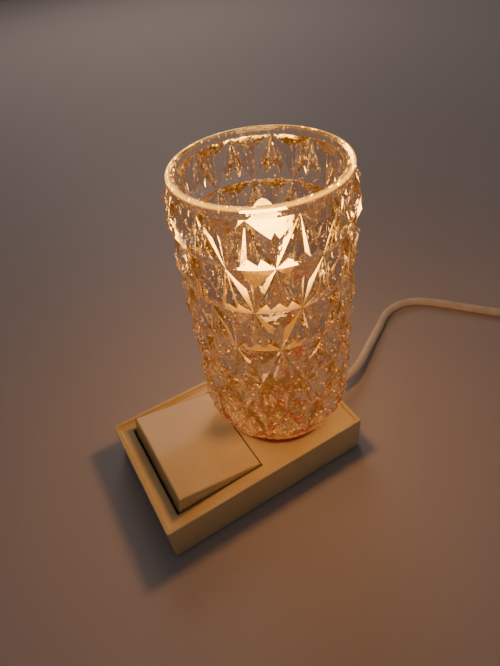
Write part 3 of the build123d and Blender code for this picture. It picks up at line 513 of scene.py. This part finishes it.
def select_loop(mesh, z, within=0.01 * MM):
    """Selects the open edges of a mesh at a height."""
    work = bmesh.from_edit_mesh(mesh)
    for edge in work.edges:
        edge.select = edge.is_boundary and all(abs(v.co.z - z) < within for v in edge.verts)
    work.select_flush_mode()
    bmesh.update_edit_mesh(mesh)


def carry_on(mesh, profile, knurl=0.0):
    """Extrudes the selected open ring on through each (radius, z) of a profile."""
    for step, (radius, z) in enumerate(profile):
        bpy.ops.mesh.extrude_region_move()
        work = bmesh.from_edit_mesh(mesh)
        ring = [v for v in work.verts if v.select]
        for v in ring:
            angle = math.atan2(v.co.y, v.co.x)
            tooth = knurl * (1 if round(math.degrees(angle - FIRST_STAR) / KNURL_PITCH) % 2 else -1)
            reach = radius + (tooth if step in (1, 2) else 0.0)
            v.co = (reach * math.cos(angle), reach * math.sin(angle), z)
        bmesh.update_edit_mesh(mesh)


def make_shade():
    """The tumbler: the star pattern rolled into a wall, with its rim, inside, floor and foot added."""
    verts, faces = pattern_sheet()
    mesh = bpy.data.meshes.new("star_pressed_shade")
    mesh.from_pydata(verts, [], faces)
    shade = bpy.data.objects.new("star_pressed_shade", mesh)
    bpy.context.scene.collection.objects.link(shade)
    deselect()
    shade.select_set(True)
    bpy.context.view_layer.objects.active = shade
    bpy.ops.object.mode_set(mode="EDIT")
    bpy.ops.mesh.select_all(action="SELECT")
    bpy.ops.mesh.quads_convert_to_tris()
    bpy.ops.mesh.subdivide(number_cuts=CUTS, smoothness=0)
    bpy.ops.object.mode_set(mode="OBJECT")
    for v in mesh.vertices:
        angle = v.co.x / RING_RADIUS
        radius = wall_radius(v.co.z) + v.co.y
        v.co = (radius * math.cos(angle), radius * math.sin(angle), v.co.z)
    bpy.ops.object.mode_set(mode="EDIT")
    bpy.ops.mesh.select_all(action="SELECT")
    bpy.ops.mesh.remove_doubles(threshold=WELD)
    bpy.ops.mesh.select_all(action="DESELECT")
    bpy.ops.mesh.select_mode(type="EDGE")
    select_loop(mesh, TOP_RING)
    rim = [(RING_RADIUS, GLASS_TOP - 0.0014), (RING_RADIUS - 0.0004, GLASS_TOP - 0.0005),
           (RING_RADIUS - 0.0012, GLASS_TOP), (INNER_RADIUS + 0.0012, GLASS_TOP),
           (INNER_RADIUS + 0.0004, GLASS_TOP - 0.0005), (INNER_RADIUS, GLASS_TOP - 0.0014)]
    inside = [(INNER_RADIUS, LOW_RING + 0.040), (INNER_RADIUS, LOW_RING + 0.010), (0.0334, LOW_RING + 0.004),
              (0.0325, LOW_RING - 0.001), (0.0305, LOW_RING - 0.005), (0.0275, LOW_RING - 0.008),
              (0.0235, LOW_RING - 0.0094), (HOLE_RADIUS, LOW_RING - 0.0095), (HOLE_RADIUS, GLASS_BOTTOM)]
    carry_on(mesh, rim + inside)
    bpy.ops.mesh.select_all(action="DESELECT")
    select_loop(mesh, FOOT_LINE)
    foot = [(FOOT_RADIUS - 0.0002, FOOT_LINE - 0.0006), (FOOT_RADIUS - 0.0002, FOOT_LINE - 0.0011),
            (FOOT_RADIUS - 0.0002, FOOT_LINE - 0.0022), (FOOT_RADIUS - 0.0006, FOOT_LINE - 0.0027),
            (FOOT_RADIUS - 0.0014, GLASS_BOTTOM), (HOLE_RADIUS, GLASS_BOTTOM)]
    carry_on(mesh, foot, knurl=KNURL)
    bpy.ops.mesh.select_all(action="SELECT")
    bpy.ops.mesh.remove_doubles(threshold=WELD)
    bpy.ops.mesh.normals_make_consistent(inside=False)
    bpy.ops.object.mode_set(mode="OBJECT")
    shade.location.x = SHADE_X
    settle(shade, FINISHES["pressed_glass"], "root", smooth=7.0)
    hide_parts("glass_shade")


make_shade()

# ------------------------------------------------------------------ turned and moulded pieces


def turned(name, profile, sides=96, centre_x=SHADE_X, close=False):
    """A turned piece on the lamp's axis: a ring carried on through each (radius, height)."""
    deselect()
    radius, height = profile[0]
    bpy.ops.mesh.primitive_circle_add(vertices=sides, radius=radius, location=(centre_x, 0, height))
    piece = named(name)
    bpy.ops.object.mode_set(mode="EDIT")
    bpy.ops.mesh.select_all(action="SELECT")
    for (before, low), (after, high) in zip(profile, profile[1:] + profile[:1] * close):
        bpy.ops.mesh.extrude_region_move(TRANSFORM_OT_translate={"value": (0, 0, high - low)})
        bpy.ops.transform.resize(value=(after / before, after / before, 1),
                                 center_override=(centre_x, 0, high))
    bpy.ops.mesh.select_all(action="SELECT")
    bpy.ops.mesh.remove_doubles(threshold=WELD)
    bpy.ops.mesh.normals_make_consistent(inside=False)
    bpy.ops.object.mode_set(mode="OBJECT")
    return piece


def make_seat_ring():
    """The red ring: half-round outside, from the panel up round the glass's foot, with its ledge inside."""
    profile = [(0.0190, 0.0226), (0.0274, 0.0226), (0.0282, 0.0232), (0.0286, 0.0242), (0.0286, 0.0252),
               (0.0284, 0.0260), (0.0280, 0.0265), (0.0276, 0.0266), (0.0273, 0.0264), (0.0273, 0.0253),
               (0.0190, 0.0253)]
    ring = turned("rounded_seat_ring", profile, close=True)
    settle(ring, FINISHES["red_rubber"], "root", smooth=40.0)
    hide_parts("seat_ring")


def make_envelope():
    """The candle bulb's frosted glass, in one slow curve from the neck to the tip. It is hidden from mirror
    rays, a liberty that keeps its mirror image off the inside of the shade."""
    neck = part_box("bulb_envelope")[0][2]
    outline = [(0.0066, 0.0), (0.0072, 0.0025), (0.0083, 0.0050), (0.0107, 0.0100), (0.0133, 0.0150),
               (0.0155, 0.0210), (0.0171, 0.0280), (0.0174, 0.0340), (0.0168, 0.0400), (0.0153, 0.0465),
               (0.0132, 0.0530), (0.0106, 0.0590), (0.0078, 0.0650), (0.0056, 0.0690), (0.0037, 0.0726),
               (0.0022, 0.0744), (0.0010, 0.0752), (0.0002, 0.0754)]
    glass = turned("candle_envelope", [(radius, neck + rise) for radius, rise in outline])
    bpy.ops.object.mode_set(mode="EDIT")
    bpy.ops.mesh.select_all(action="DESELECT")
    select_loop(glass.data, neck + outline[-1][1], within=WELD)
    bpy.ops.mesh.edge_face_add()
    bpy.ops.object.mode_set(mode="OBJECT")
    settle(glass, FINISHES["bulb_glass"], "bulb", smooth=40.0)
    glass.visible_glossy = False
    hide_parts("bulb_envelope")


def make_strain_relief():
    """The ribbed rubber sleeve where the lead leaves the end wall, with its flange against the wall."""
    profile = [(0.0029, 0.0520), (0.0042, 0.0520), (0.0042, 0.0564), (0.0058, 0.0564), (0.0058, 0.0576),
               (0.0042, 0.0576), (0.0042, 0.0600), (0.0058, 0.0600), (0.0058, 0.0608), (0.0054, 0.0612),
               (0.0046, 0.0613)]
    for rib in range(4):
        radius, start = 0.0044 - 0.0002 * rib, 0.0621 + 0.0027 * rib
        profile += [(radius - 0.0007, start), (radius - 0.0007, start + 0.0008), (radius, start + 0.0010),
                    (radius, start + 0.0024)]
    sleeve = turned("ribbed_strain_relief", profile + [(0.0035, 0.0730), (0.0029, 0.0730)], sides=48,
                    centre_x=0.0, close=True)
    sleeve.rotation_euler = (0, math.pi / 2, 0)
    bpy.ops.object.transform_apply(location=True, rotation=True, scale=True)
    sleeve.location.z = LEAD_EXIT[2]
    settle(sleeve, FINISHES["cord_pvc"], "root", smooth=30.0)
    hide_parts("strain_relief")


make_seat_ring()
make_envelope()
make_strain_relief()

# ------------------------------------------------------------------ floor and light


def make_stage():
    """A plain pale table top."""
    deselect()
    bpy.ops.mesh.primitive_plane_add(size=4.0, location=(0, 0, 0))
    floor = named("table_top")
    material, _, shader, _ = finish("pale_table")
    shader.inputs["Base Color"].default_value = linear("#c9c2c6")
    shader.inputs["Roughness"].default_value = 0.5
    floor.data.materials.append(material)


def make_lights():
    """Dim soft daylight from above, and the lit bulb's own warm light."""
    world = bpy.data.worlds.new("soft_room")
    bpy.context.scene.world = world
    world.use_nodes = True
    world.node_tree.nodes["Background"].inputs["Color"].default_value = linear("#b0a8a4")
    world.node_tree.nodes["Background"].inputs["Strength"].default_value = 0.17
    deselect()
    bpy.ops.object.light_add(type="AREA", location=(0.45, 1.25, 0.9))
    soft = bpy.context.object
    soft.name = "soft_box"
    soft.data.shape = "DISK"
    soft.data.size = 0.9
    soft.data.energy = 3.4
    soft.data.color = linear("#ffe6d2")[:3]
    soft.rotation_euler = (Vector((0.35, 0.85, 0)) - soft.location).to_track_quat("-Z", "Y").to_euler()
    bpy.ops.object.light_add(type="POINT", location=(SHADE_X, 0, 0.130))
    glow = bpy.context.object
    glow.name = "bulb_light"
    glow.data.energy = 0.22
    glow.data.shadow_soft_size = 0.012
    glow.data.color = linear("#ffd0a0")[:3]
    glow.visible_glossy = False
    glow.visible_transmission = False


make_stage()
make_lights()
